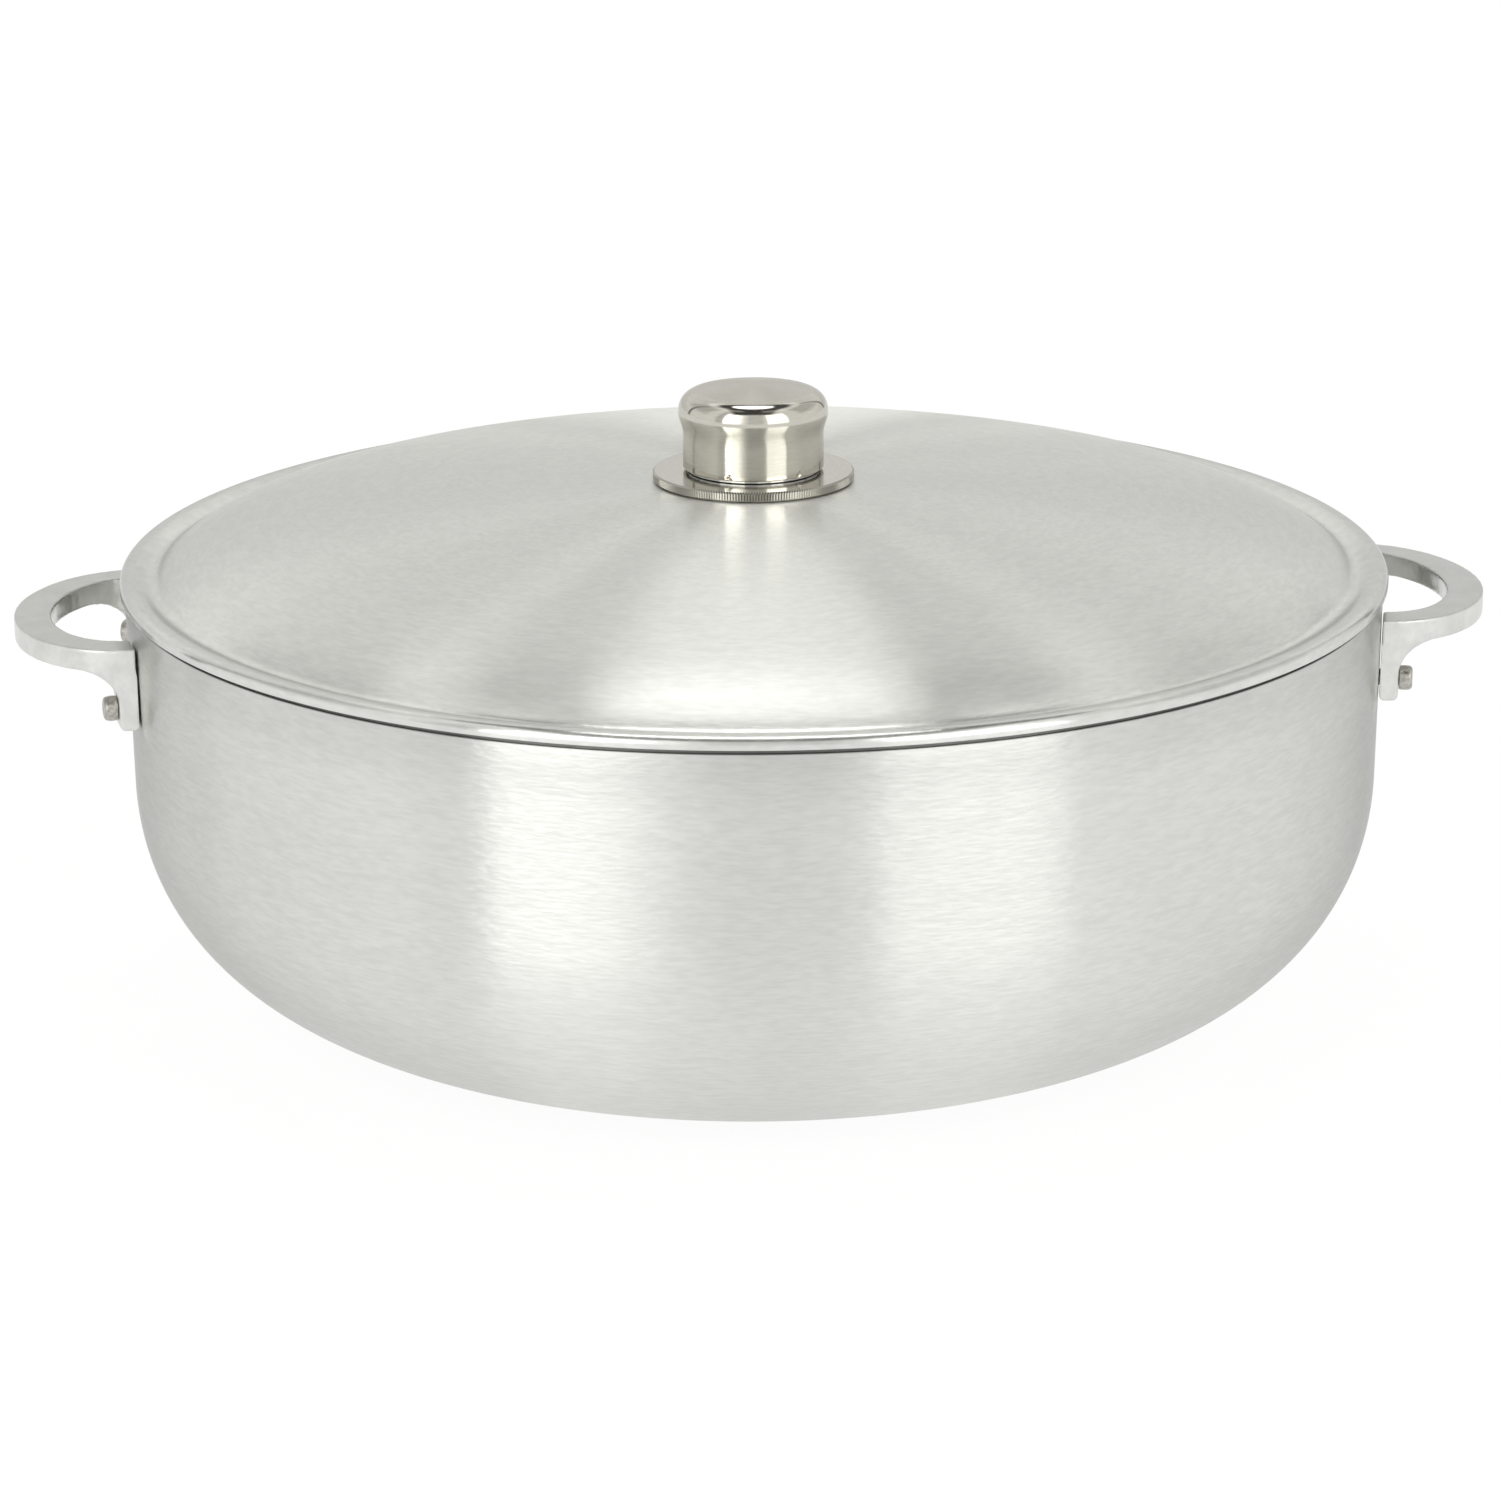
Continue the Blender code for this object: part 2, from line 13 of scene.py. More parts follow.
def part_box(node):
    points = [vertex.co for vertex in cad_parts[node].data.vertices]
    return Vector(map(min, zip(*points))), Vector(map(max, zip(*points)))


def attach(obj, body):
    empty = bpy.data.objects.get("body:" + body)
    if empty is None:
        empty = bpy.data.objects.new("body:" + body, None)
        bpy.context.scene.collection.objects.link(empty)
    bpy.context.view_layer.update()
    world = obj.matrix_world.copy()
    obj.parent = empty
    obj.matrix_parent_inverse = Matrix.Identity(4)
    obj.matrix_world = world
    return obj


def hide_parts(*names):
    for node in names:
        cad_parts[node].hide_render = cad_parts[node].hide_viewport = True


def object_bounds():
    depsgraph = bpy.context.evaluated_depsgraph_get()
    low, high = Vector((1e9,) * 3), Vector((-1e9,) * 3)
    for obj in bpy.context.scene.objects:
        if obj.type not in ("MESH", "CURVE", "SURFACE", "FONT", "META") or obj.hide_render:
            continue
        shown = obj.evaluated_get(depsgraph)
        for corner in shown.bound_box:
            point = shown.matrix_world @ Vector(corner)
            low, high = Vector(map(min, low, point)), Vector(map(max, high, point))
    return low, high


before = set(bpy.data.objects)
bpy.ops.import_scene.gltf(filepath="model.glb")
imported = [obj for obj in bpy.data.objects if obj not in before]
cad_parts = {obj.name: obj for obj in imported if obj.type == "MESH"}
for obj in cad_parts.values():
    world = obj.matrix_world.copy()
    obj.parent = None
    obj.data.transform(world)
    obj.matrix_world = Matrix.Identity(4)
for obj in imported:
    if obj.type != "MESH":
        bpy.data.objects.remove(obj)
cad_low, cad_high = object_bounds()

MM = 0.001
SHEET_STEPS = 384             # facets round the pot and the lid
KNOB_STEPS = 288
SMALL_STEPS = 96
SECTION_STEPS = 240           # facets of the turned section that shapes the handles

# Pot shell
POT_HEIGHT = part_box("pot_shell")[1].z
POT_RIM_RADIUS = 203.5 * MM
POT_WALL_RADIUS = 202.8 * MM
POT_CORNER_WIDTH = 85.6 * MM
POT_CORNER_HEIGHT = 77.3 * MM
POT_CORNER_POWER = 2.14
POT_THICKNESS = 3.0 * MM
RIM_STEP_WIDTH = 0.9 * MM
RIM_STEP_HEIGHT = 3.5 * MM
RIM_ROUND = 0.7 * MM

# Lid shell, heights above LID_BASE
LID_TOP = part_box("lid_shell")[1]
LID_RADIUS = LID_TOP.y
LID_CROWN = 26.1 * MM
LID_BASE = LID_TOP.z - LID_CROWN
LID_THICKNESS = 1.5 * MM
LID_FALL = 0.5
LID_FLAT_RADIUS = 33.5 * MM
LID_DOME_RADIUS = 150.0 * MM
LID_FOOT = (190.5 * MM, 1.9 * MM)
LID_FOOT_SLOPE = 0.8
LID_VALLEY = (194.8 * MM, -0.5 * MM)
LID_LIP_TOP = (200.4 * MM, 1.5 * MM)
LID_LIP_BOTTOM = -2.25 * MM
LID_LIP_ROUND = 2.6 * MM
SHOULDER_START_PULL = 21.0 * MM
SHOULDER_END_PULL = 8.0 * MM
VALLEY_PULL = 2.0 * MM

# Knob
DISC_LOW, DISC_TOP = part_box("knob_disc")
DISC_RADIUS = DISC_TOP.y
DISC_TEETH = 224              # fine straight knurling round the disc's edge
TOOTH_STEPS = 4               # facets of a tooth: two for its top and two for the groove
TOOTH_DEPTH = 0.22 * MM
CAP_LOW, CAP_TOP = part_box("knob_cap")
CAP_SKIRT_RADIUS = 22.8 * MM
CAP_HEAD_RADIUS = 24.3 * MM
CAP_HEIGHT = CAP_TOP.z - CAP_LOW.z
CAP_HEAD_HEIGHT = 18.0 * MM
CAP_SKIRT_HEIGHT = 10.5 * MM
CAP_THICKNESS = 1.0 * MM
CAP_TOP_RISE = 1.9 * MM
CAP_TOP_RADIUS = 19.4 * MM
STAKE_COUNT = 6               # small marks punched in above the skirt's edge
STAKE_FIRST = math.radians(-114.0)
STAKE_HEIGHT = 2.3 * MM
STAKE_FOOT = 0.15             # where a mark's base is, as a share of STAKE_HEIGHT
STAKE_SPREAD = 0.45           # half the width of its base, as a share of STAKE_HEIGHT
STAKE_DEPTH = 0.5 * MM

# Handles: plan outwards along X, and the section that is turned about the pot's axis
HANDLE_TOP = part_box("handle_right")[1].z
HANDLE_CENTRE = 203.0 * MM
HANDLE_REACH = 36.7 * MM
HANDLE_HALF_WIDTH = 49.5 * MM
HOLE_REACH = 24.8 * MM
HOLE_HALF_WIDTH = 38.0 * MM
HANDLE_ROOT = 191.0 * MM
HANDLE_THICKNESS = 7.4 * MM
FOOT_BOTTOM = 102.3 * MM
FOOT_OUTER_RADIUS = 209.5 * MM
FOOT_CORNER = 1.8 * MM
FOOT_FILLET_WIDTH = 12.0 * MM
FOOT_FILLET_HEIGHT = 10.8 * MM
FOOT_GAP = 0.35 * MM
CAST_VOXEL = 0.5 * MM
CAST_SMOOTHING = 8            # rounds of smoothing, which round the edges by about a millimetre
CAST_LUMPS = 0.06 * MM

# Rivets and fixings
RIVET_ANGLE = math.radians(12.3)
RIVET_HEIGHT = 108.9 * MM
RIVET_SHANK_RADIUS = 2.6 * MM
RIVET_HEAD_RADIUS = 4.0 * MM
RIVET_HEAD_HEIGHT = 3.8 * MM
RIVET_HEAD_PROUD = 0.5 * MM   # how much further out than its height the head's top is
RIVET_HEAD_ROUND = 1.3 * MM
RIVET_HEAD_BULGE = 0.15 * MM
RIVET_DIMPLE = (2.1 * MM, 0.25 * MM)   # radius and depth
RIVET_DENTS = 0.08 * MM
RIVET_TAIL_RADIUS = 5.2 * MM
RIVET_TAIL_HEIGHT = 1.8 * MM
SCREW_HOLE_RADIUS = 2.9 * MM


# ---------------------------------------------------------------- outlines

def bezier(start, start_pull, end_pull, end, count):
    """Points along a cubic curve, without its first point."""
    points = []
    for step in range(1, count + 1):
        t = step / count
        weights = ((1 - t) ** 3, 3 * t * (1 - t) ** 2, 3 * t * t * (1 - t), t ** 3)
        corners = (start, start_pull, end_pull, end)
        points.append(tuple(sum(w * c[i] for w, c in zip(weights, corners)) for i in (0, 1)))
    return points


def arc(centre, width, height, start, end, count):
    """Points along part of an ellipse, both ends included. Angles are in degrees."""
    points = []
    for step in range(count + 1):
        angle = math.radians(start + (end - start) * step / count)
        points.append((centre[0] + width * math.cos(angle), centre[1] + height * math.sin(angle)))
    return points


def line(start, end, count):
    """Evenly spaced points from start to end, without the first."""
    return [
        tuple(a + (b - a) * step / count for a, b in zip(start, end))
        for step in range(1, count + 1)
    ]


def offset(points, distance):
    """The same open line moved to its right-hand side by a distance."""
    moved = []
    for index, (radius, height) in enumerate(points):
        before = points[max(index - 1, 0)]
        after = points[min(index + 1, len(points) - 1)]
        run, rise = after[0] - before[0], after[1] - before[1]
        length = math.hypot(run, rise)
        moved.append((radius + distance * rise / length, height - distance * run / length))
    return moved


def round_corner(inset, count):
    """The pot's corner from the straight wall down to the flat base, inset from the outside."""
    centre_radius = POT_WALL_RADIUS - POT_CORNER_WIDTH
    width = POT_CORNER_WIDTH - inset
    height = POT_CORNER_HEIGHT - inset
    points = []
    for step in range(count + 1):
        angle = math.radians(90.0 * step / count)
        across = math.cos(angle) ** (2 / POT_CORNER_POWER)
        down = math.sin(angle) ** (2 / POT_CORNER_POWER)
        points.append((centre_radius + width * across, POT_CORNER_HEIGHT - height * down))
    return points


# ---------------------------------------------------------------- meshes

def add_object(name, mesh):
    obj = bpy.data.objects.new(name, mesh)
    bpy.context.scene.collection.objects.link(obj)
    return obj


def finish_mesh(obj, material, sharp_degrees=32.0):
    """Smooth shading, sharp only where the surface really turns, and the piece's material."""
    obj.data.shade_smooth()
    obj.data.set_sharp_from_angle(angle=math.radians(sharp_degrees))
    obj.data.materials.clear()
    obj.data.materials.append(material)
    return obj


def revolve(name, profile, steps, ring=False, shape=None):
    """A turned mesh. Its profile runs from axis to axis, or is a ring that closes on itself.
    shape(radius, height, angle) may change a point's radius."""
    vertices = []
    rings = []
    for radius, height in profile:
        if radius < 1e-7:
            rings.append([len(vertices)] * steps)
            vertices.append((0.0, 0.0, height))
            continue
        rings.append(list(range(len(vertices), len(vertices) + steps)))
        for step in range(steps):
            angle = 2 * math.pi * step / steps
            here = shape(radius, height, angle) if shape else radius
            vertices.append((here * math.cos(angle), here * math.sin(angle), height))
    if ring:
        rings.append(rings[0])
    faces = []
    for upper, lower in zip(rings, rings[1:]):
        for step in range(steps):
            after = (step + 1) % steps
            corners = (upper[step], lower[step], lower[after], upper[after])
            faces.append(tuple(dict.fromkeys(corners)))
    mesh = bpy.data.meshes.new(name)
    mesh.from_pydata(vertices, [], faces)
    shaped = bmesh.new()
    shaped.from_mesh(mesh)
    bmesh.ops.recalc_face_normals(shaped, faces=shaped.faces)
    shaped.to_mesh(mesh)
    shaped.free()
    return add_object(name, mesh)


def applied(obj):
    """Replaces an object's mesh by what its modifiers make of it."""
    graph = bpy.context.evaluated_depsgraph_get()
    mesh = bpy.data.meshes.new_from_object(obj.evaluated_get(graph))
    obj.modifiers.clear()
    obj.data = mesh
    return obj


# ---------------------------------------------------------------- shader building

def node(tree, kind, inputs=None, **settings):
    """Adds a shader node. inputs gives socket values, or the sockets to link from."""
    made = tree.nodes.new(kind)
    for key, value in settings.items():
        setattr(made, key, value)
    for key, value in (inputs or {}).items():
        if isinstance(value, bpy.types.NodeSocket):
            tree.links.new(value, made.inputs[key])
        else:
            made.inputs[key].default_value = value
    return made


def maths(tree, operation, first, second=0.0):
    return node(tree, "ShaderNodeMath", {0: first, 1: second}, operation=operation).outputs[0]


def remap(tree, value, low, high, to_low=0.0, to_high=1.0, smooth=True):
    kind = "SMOOTHSTEP" if smooth else "LINEAR"
    inputs = {"Value": value, "From Min": low, "From Max": high, "To Min": to_low, "To Max": to_high}
    return node(tree, "ShaderNodeMapRange", inputs, interpolation_type=kind).outputs["Result"]


def metal(name, roughness, anisotropy=0.0, edge=1.0):
    """An empty metal: its tree and its Principled node, with constants on the shader's sockets.
    edge below 1 makes it darker where it is seen at a grazing angle."""
    material = bpy.data.materials.new(name)
    material.use_nodes = True
    tree = material.node_tree
    shader = tree.nodes["Principled BSDF"]
    shader.inputs["Metallic"].default_value = 1.0
    shader.inputs["Roughness"].default_value = roughness
    shader.inputs["Anisotropic"].default_value = anisotropy
    shader.inputs["Specular Tint"].default_value = (edge, edge, edge, 1.0)
    if anisotropy:
        shader.inputs["Anisotropic Rotation"].default_value = 0.25
        tangent = node(tree, "ShaderNodeTangent", direction_type="RADIAL", axis="Z")
        tree.links.new(tangent.outputs[0], shader.inputs["Tangent"])
    return material, tree, shader


def add_bump(tree, shader, height, strength, distance):
    bump = node(tree, "ShaderNodeBump", {"Strength": strength, "Distance": distance, "Height": height})
    tree.links.new(bump.outputs[0], shader.inputs["Normal"])


def object_vector(tree):
    return node(tree, "ShaderNodeTexCoord").outputs["Object"]


def ring_parts(tree):
    """Radius, height and unit direction round Z of the shaded point, as sockets."""
    position = object_vector(tree)
    parts = node(tree, "ShaderNodeSeparateXYZ", {0: position}).outputs
    flat = node(tree, "ShaderNodeCombineXYZ", {"X": parts["X"], "Y": parts["Y"]}).outputs[0]
    radius = node(tree, "ShaderNodeVectorMath", {0: flat}, operation="LENGTH").outputs["Value"]
    around = node(tree, "ShaderNodeVectorMath", {0: flat}, operation="NORMALIZE").outputs[0]
    return radius, parts["Z"], node(tree, "ShaderNodeSeparateXYZ", {0: around}).outputs


def ring_vector(tree, streak, fineness, lean):
    """Coordinates that change slowly round Z and fast along the profile, for turned marks.
    lean is 1 where height and radius shrink together, as on the pot, and -1 on a dome."""
    radius, height, around = ring_parts(tree)
    along = maths(tree, "ADD", radius, maths(tree, "MULTIPLY", height, lean))
    inputs = {
        "X": maths(tree, "MULTIPLY", around["X"], streak),
        "Y": maths(tree, "MULTIPLY", around["Y"], streak),
        "Z": maths(tree, "MULTIPLY", along, fineness),
    }
    return node(tree, "ShaderNodeCombineXYZ", inputs).outputs[0]


def noise_value(tree, vector, scale=1.0, detail=2.0, roughness=0.5):
    inputs = {"Vector": vector, "Scale": scale, "Detail": detail, "Roughness": roughness}
    return node(tree, "ShaderNodeTexNoise", inputs).outputs[0]


def tone(tree, amount, low_colour, high_colour):
    """A colour between two, chosen by an amount from 0 to 1."""
    mix = node(tree, "ShaderNodeMix", data_type="RGBA")
    tree.links.new(amount, mix.inputs["Factor"])
    mix.inputs["A"].default_value = (*low_colour, 1.0)
    mix.inputs["B"].default_value = (*high_colour, 1.0)
    return mix.outputs["Result"]


def shade(tree, colour, factor):
    """A colour made darker by a factor socket."""
    inputs = {0: colour, "Scale": factor}
    return node(tree, "ShaderNodeVectorMath", inputs, operation="SCALE").outputs["Vector"]


def smudges(tree, low, high):
    """A value that drifts between two, in soft patches a few centimetres wide."""
    patches = noise_value(tree, object_vector(tree), scale=17.0, detail=3.0, roughness=0.6)
    return remap(tree, patches, 0.3, 0.7, low, high, smooth=False)


# ---------------------------------------------------------------- metals

NOWHERE = 1.0                 # a height or a radius beyond every piece


def brushed_aluminium(name, base, edge, lean, grain, depth):
    """Spun sheet, brushed round its axis. grain is marks per metre along the profile."""
    material, tree, shader = metal(name, 0.3, anisotropy=1.0, edge=edge)
    fine = noise_value(tree, ring_vector(tree, 40.0, grain, lean), detail=1.0)
    fine = maths(tree, "MULTIPLY", fine, 0.55)
    marks = noise_value(tree, ring_vector(tree, 16.0, 0.45 * grain, lean), detail=2.0)
    marks = maths(tree, "MULTIPLY", marks, 0.45)
    streaks = maths(tree, "ADD", fine, marks)
    darker = tuple(0.95 * channel for channel in base)
    lighter = tuple(1.04 * channel for channel in base)
    colour = tone(tree, remap(tree, streaks, 0.36, 0.64, smooth=False), darker, lighter)
    add_bump(tree, shader, streaks, 1.0, depth)
    return material, tree, shader, colour


def pot_aluminium():
    """Painted shade on the step that the lid's lip covers, a little painted shade on the wall below
    it, and darker towards the foot as painted shade near the floor.
    """
    material, tree, shader, colour = brushed_aluminium(
        "pot_brushed_fine", base=(0.73, 0.733, 0.705), edge=0.6, lean=1.0, grain=1000.0,
        depth=0.16 * MM,
    )
    radius, height = ring_parts(tree)[:2]
    ledge = POT_HEIGHT - RIM_STEP_HEIGHT
    step = POT_RIM_RADIUS - RIM_STEP_WIDTH
    outer = remap(tree, radius, step - 0.8 * MM, step - 0.2 * MM)
    shade_under_lip = maths(tree, "MULTIPLY", outer, remap(tree, height, ledge - 0.5 * MM, ledge + 0.1 * MM))
    # Painted shade: the step's outer wall under the lid's lip is made 0.3 as bright.
    rim = remap(tree, shade_under_lip, 0.0, 1.0, 1.0, 0.3, smooth=False)
    # Painted shade: the wall is a little darker for some centimetres below the lid's lip.
    upper = remap(tree, height, ledge - 22.0 * MM, ledge - 3.0 * MM, 1.0, 0.92)
    # Painted shade: darker towards the bottom, near the floor.
    foot = remap(tree, height, 1.0 * MM, 26.0 * MM, 0.92, 1.0)
    colour = shade(tree, colour, maths(tree, "MULTIPLY", maths(tree, "MULTIPLY", rim, upper), foot))
    tree.links.new(colour, shader.inputs["Base Color"])
    tree.links.new(smudges(tree, 0.30, 0.34), shader.inputs["Roughness"])
    return material


def lid_aluminium():
    """Brushed dome, with a smoother burnished lip."""
    material, tree, shader, colour = brushed_aluminium(
        "lid_brushed_fine", base=(0.783, 0.786, 0.757), edge=0.75, lean=-1.0, grain=600.0,
        depth=0.07 * MM,
    )
    radius = ring_parts(tree)[0]
    # Painted shade: the lip's colour is a tenth darker, to dim its reflections.
    lip = remap(tree, radius, LID_VALLEY[0], LID_LIP_TOP[0], 1.0, 0.9)
    tree.links.new(shade(tree, colour, lip), shader.inputs["Base Color"])
    burnished = remap(tree, radius, LID_FOOT[0] - 6 * MM, LID_LIP_TOP[0], 0.315, 0.2)
    uneven = smudges(tree, 0.94, 1.06)
    tree.links.new(maths(tree, "MULTIPLY", burnished, uneven), shader.inputs["Roughness"])
    return material


def cast_aluminium():
    """Tumbled casting with a fine pebbled skin, smoother inside the loop, with painted shade that
    makes its upward faces and the inside of the loop darker.
    """
    material, tree, shader = metal("cast_aluminium_fine", 0.4)
    skin = noise_value(tree, object_vector(tree), scale=700.0, detail=2.0, roughness=0.6)
    blotch = noise_value(tree, object_vector(tree), scale=160.0, detail=4.0, roughness=0.65)
    place = node(tree, "ShaderNodeSeparateXYZ", {0: object_vector(tree)}).outputs
    out = maths(tree, "SUBTRACT", maths(tree, "ABSOLUTE", place["X"]), HANDLE_CENTRE)
    across = maths(tree, "POWER", maths(tree, "DIVIDE", place["Y"], HOLE_HALF_WIDTH), 2.0)
    out = maths(tree, "POWER", maths(tree, "DIVIDE", out, HOLE_REACH), 2.0)
    inside = remap(tree, maths(tree, "ADD", out, across), 1.03, 1.09, 1.0, 0.0)
    normal = node(tree, "ShaderNodeNewGeometry").outputs["Normal"]
    upwards = node(tree, "ShaderNodeSeparateXYZ", {0: normal}).outputs["Z"]

    colour = tone(tree, remap(tree, blotch, 0.3, 0.7), (0.62, 0.62, 0.60), (0.72, 0.72, 0.70))
    # Painted shade: upward faces are made darker.
    colour = shade(tree, colour, remap(tree, upwards, 0.55, 0.95, 1.0, 0.8))
    # Painted shade: the inside of the loop is made darker.
    colour = shade(tree, colour, remap(tree, inside, 0.0, 1.0, 1.0, 0.82))
    tree.links.new(colour, shader.inputs["Base Color"])
    rough = remap(tree, blotch, 0.3, 0.7, 0.36, 0.46)
    smoother = remap(tree, inside, 0.0, 1.0, 1.0, 0.5)
    tree.links.new(maths(tree, "MULTIPLY", rough, smoother), shader.inputs["Roughness"])
    add_bump(tree, shader, skin, 0.5, 0.06 * MM)
    return material


def rivet_aluminium():
    """Dull mottled wire."""
    material, tree, shader = metal("rivet_aluminium_fine", 0.38)
    grain = noise_value(tree, object_vector(tree), scale=700.0, detail=3.0, roughness=0.65)
    colour = tone(tree, remap(tree, grain, 0.35, 0.65), (0.34, 0.335, 0.30), (0.52, 0.51, 0.47))
    tree.links.new(colour, shader.inputs["Base Color"])
    tree.links.new(remap(tree, grain, 0.3, 0.7, 0.32, 0.46), shader.inputs["Roughness"])
    add_bump(tree, shader, grain, 0.5, 0.06 * MM)
    return material


def polished_steel(name, satin_above, shaded_beyond, roughness, edge):
    """Stainless steel, polished on its sides and brushed to a satin above a height; beyond a radius,
    where it is knurled, painted shade makes its colour darker."""
    material, tree, shader = metal(name, roughness, anisotropy=0.7, edge=edge)
    radius, height = ring_parts(tree)[:2]
    satin = remap(tree, height, satin_above - 0.3 * MM, satin_above + 0.3 * MM)
    marks = noise_value(tree, ring_vector(tree, 5.0, 2600.0, -1.0), detail=3.0, roughness=0.6)
    haze = noise_value(tree, object_vector(tree), scale=130.0, detail=4.0, roughness=0.6)
    darker, lighter = (0.53, 0.51, 0.455), (0.60, 0.58, 0.525)
    colour = tone(tree, remap(tree, marks, 0.3, 0.7, smooth=False), darker, lighter)
    # Painted shade: darker beyond that radius, for the shade in the knurl's grooves.
    knurled = remap(tree, radius, shaded_beyond, shaded_beyond + 0.2 * MM, 1.0, 0.78)
    tree.links.new(shade(tree, colour, knurled), shader.inputs["Base Color"])
    sides = remap(tree, haze, 0.3, 0.7, roughness * 0.8, roughness * 1.3)
    spread = maths(tree, "ADD", sides, maths(tree, "MULTIPLY", satin, 0.24))
    tree.links.new(spread, shader.inputs["Roughness"])
    add_bump(tree, shader, marks, 0.12, 0.02 * MM)
    return material


def plated_steel():
    material, tree, shader = metal("plated_steel_fine", 0.3)
    grain = noise_value(tree, ring_vector(tree, 5.0, 1800.0, -1.0), detail=2.0)
    colour = tone(tree, remap(tree, grain, 0.3, 0.7), (0.46, 0.46, 0.45), (0.60, 0.60, 0.585))
    tree.links.new(colour, shader.inputs["Base Color"])
    tree.links.new(remap(tree, grain, 0.3, 0.7, 0.26, 0.36), shader.inputs["Roughness"])
    return material


# ---------------------------------------------------------------- pieces

def make_pot(material):
    step_radius = POT_RIM_RADIUS - RIM_STEP_WIDTH
    step_bottom = POT_HEIGHT - RIM_STEP_HEIGHT
    inner_radius = POT_RIM_RADIUS - POT_THICKNESS
    outside = round_corner(0.0, 40)
    inside = list(reversed(round_corner(POT_THICKNESS, 32)))
    inner_edge = (inner_radius + RIM_ROUND, POT_HEIGHT - RIM_ROUND)
    step_edge = (step_radius - RIM_ROUND, POT_HEIGHT - RIM_ROUND)
    ledge_round = 0.35 * MM
    ledge_edge = (POT_RIM_RADIUS - ledge_round, step_bottom - ledge_round)
    floor_top = (0.0, POT_THICKNESS)
    profile = [
        floor_top,
        *line(floor_top, inside[0], 12),
        *inside[1:],
        *line(inside[-1], (inner_radius, inner_edge[1]), 8)[:-1],
        *arc(inner_edge, RIM_ROUND, RIM_ROUND, 180, 90, 6),
        *arc(step_edge, RIM_ROUND, RIM_ROUND, 90, 0, 6),
        (step_radius, step_bottom),
        *arc(ledge_edge, ledge_round, ledge_round, 90, 0, 4),
        *line((POT_RIM_RADIUS, ledge_edge[1]), outside[0], 8),
        *outside[1:],
        *line(outside[-1], (0.0, 0.0), 12),
    ]
    pot = revolve("pot_shell_fine", profile, SHEET_STEPS)
    return finish_mesh(pot, material)


def lid_outline():
    """Outside of the lid, from the edge of its middle hole to the bottom of its lip."""
    def dome(radius):
        return (radius, LID_CROWN - LID_FALL * (radius ** 2 - LID_FLAT_RADIUS ** 2))

    seat = (SCREW_HOLE_RADIUS, LID_CROWN)
    dome_radii = [LID_FLAT_RADIUS + (LID_DOME_RADIUS - LID_FLAT_RADIUS) * i / 28 for i in range(29)]
    start = dome(LID_DOME_RADIUS)
    slope = 2 * LID_FALL * LID_DOME_RADIUS
    shoulder_pulls = (
        (start[0] + SHOULDER_START_PULL, start[1] - SHOULDER_START_PULL * slope),
        (LID_FOOT[0] - SHOULDER_END_PULL, LID_FOOT[1] + SHOULDER_END_PULL * LID_FOOT_SLOPE),
    )
    valley_pulls = (
        (LID_FOOT[0] + VALLEY_PULL, LID_FOOT[1] - VALLEY_PULL * LID_FOOT_SLOPE),
        (LID_VALLEY[0] - VALLEY_PULL, LID_VALLEY[1]),
    )
    lip_pulls = (
        (LID_VALLEY[0] + VALLEY_PULL, LID_VALLEY[1]),
        (LID_LIP_TOP[0] - VALLEY_PULL, LID_LIP_TOP[1]),
    )
    lip_centre = (LID_RADIUS - LID_LIP_ROUND, LID_LIP_TOP[1] - LID_LIP_ROUND)
    return [
        seat,
        *line(seat, dome(LID_FLAT_RADIUS), 6)[:-1],
        *(dome(radius) for radius in dome_radii),
        *bezier(start, *shoulder_pulls, LID_FOOT, 20),
        *bezier(LID_FOOT, *valley_pulls, LID_VALLEY, 8),
        *bezier(LID_VALLEY, *lip_pulls, LID_LIP_TOP, 8),
        *arc(lip_centre, LID_LIP_ROUND, LID_LIP_ROUND, 90, 0, 12),
        (LID_RADIUS, LID_LIP_BOTTOM),
    ]


def make_lid(material):
    outside = lid_outline()
    inside = offset(outside, LID_THICKNESS)
    profile = [(radius, height + LID_BASE) for radius, height in outside + inside[::-1]]
    lid = revolve("lid_shell_fine", profile, SHEET_STEPS, ring=True)
    return finish_mesh(lid, material)


def stake_dent(radius, height, angle):
    """Pushes in a small triangle, its base down, at each of the marks above the skirt's edge."""
    above = (height - CAP_LOW.z) / STAKE_HEIGHT
    if not STAKE_FOOT < above < 1.0:
        return radius
    pitch = 2 * math.pi / STAKE_COUNT
    away = abs((angle - STAKE_FIRST + pitch / 2) % pitch - pitch / 2) * radius
    half_width = STAKE_SPREAD * STAKE_HEIGHT * (1.0 - above)
    inside = max(0.0, 1.0 - away / max(half_width, 1e-6))
    return radius - STAKE_DEPTH * min(1.0, 2.0 * inside)


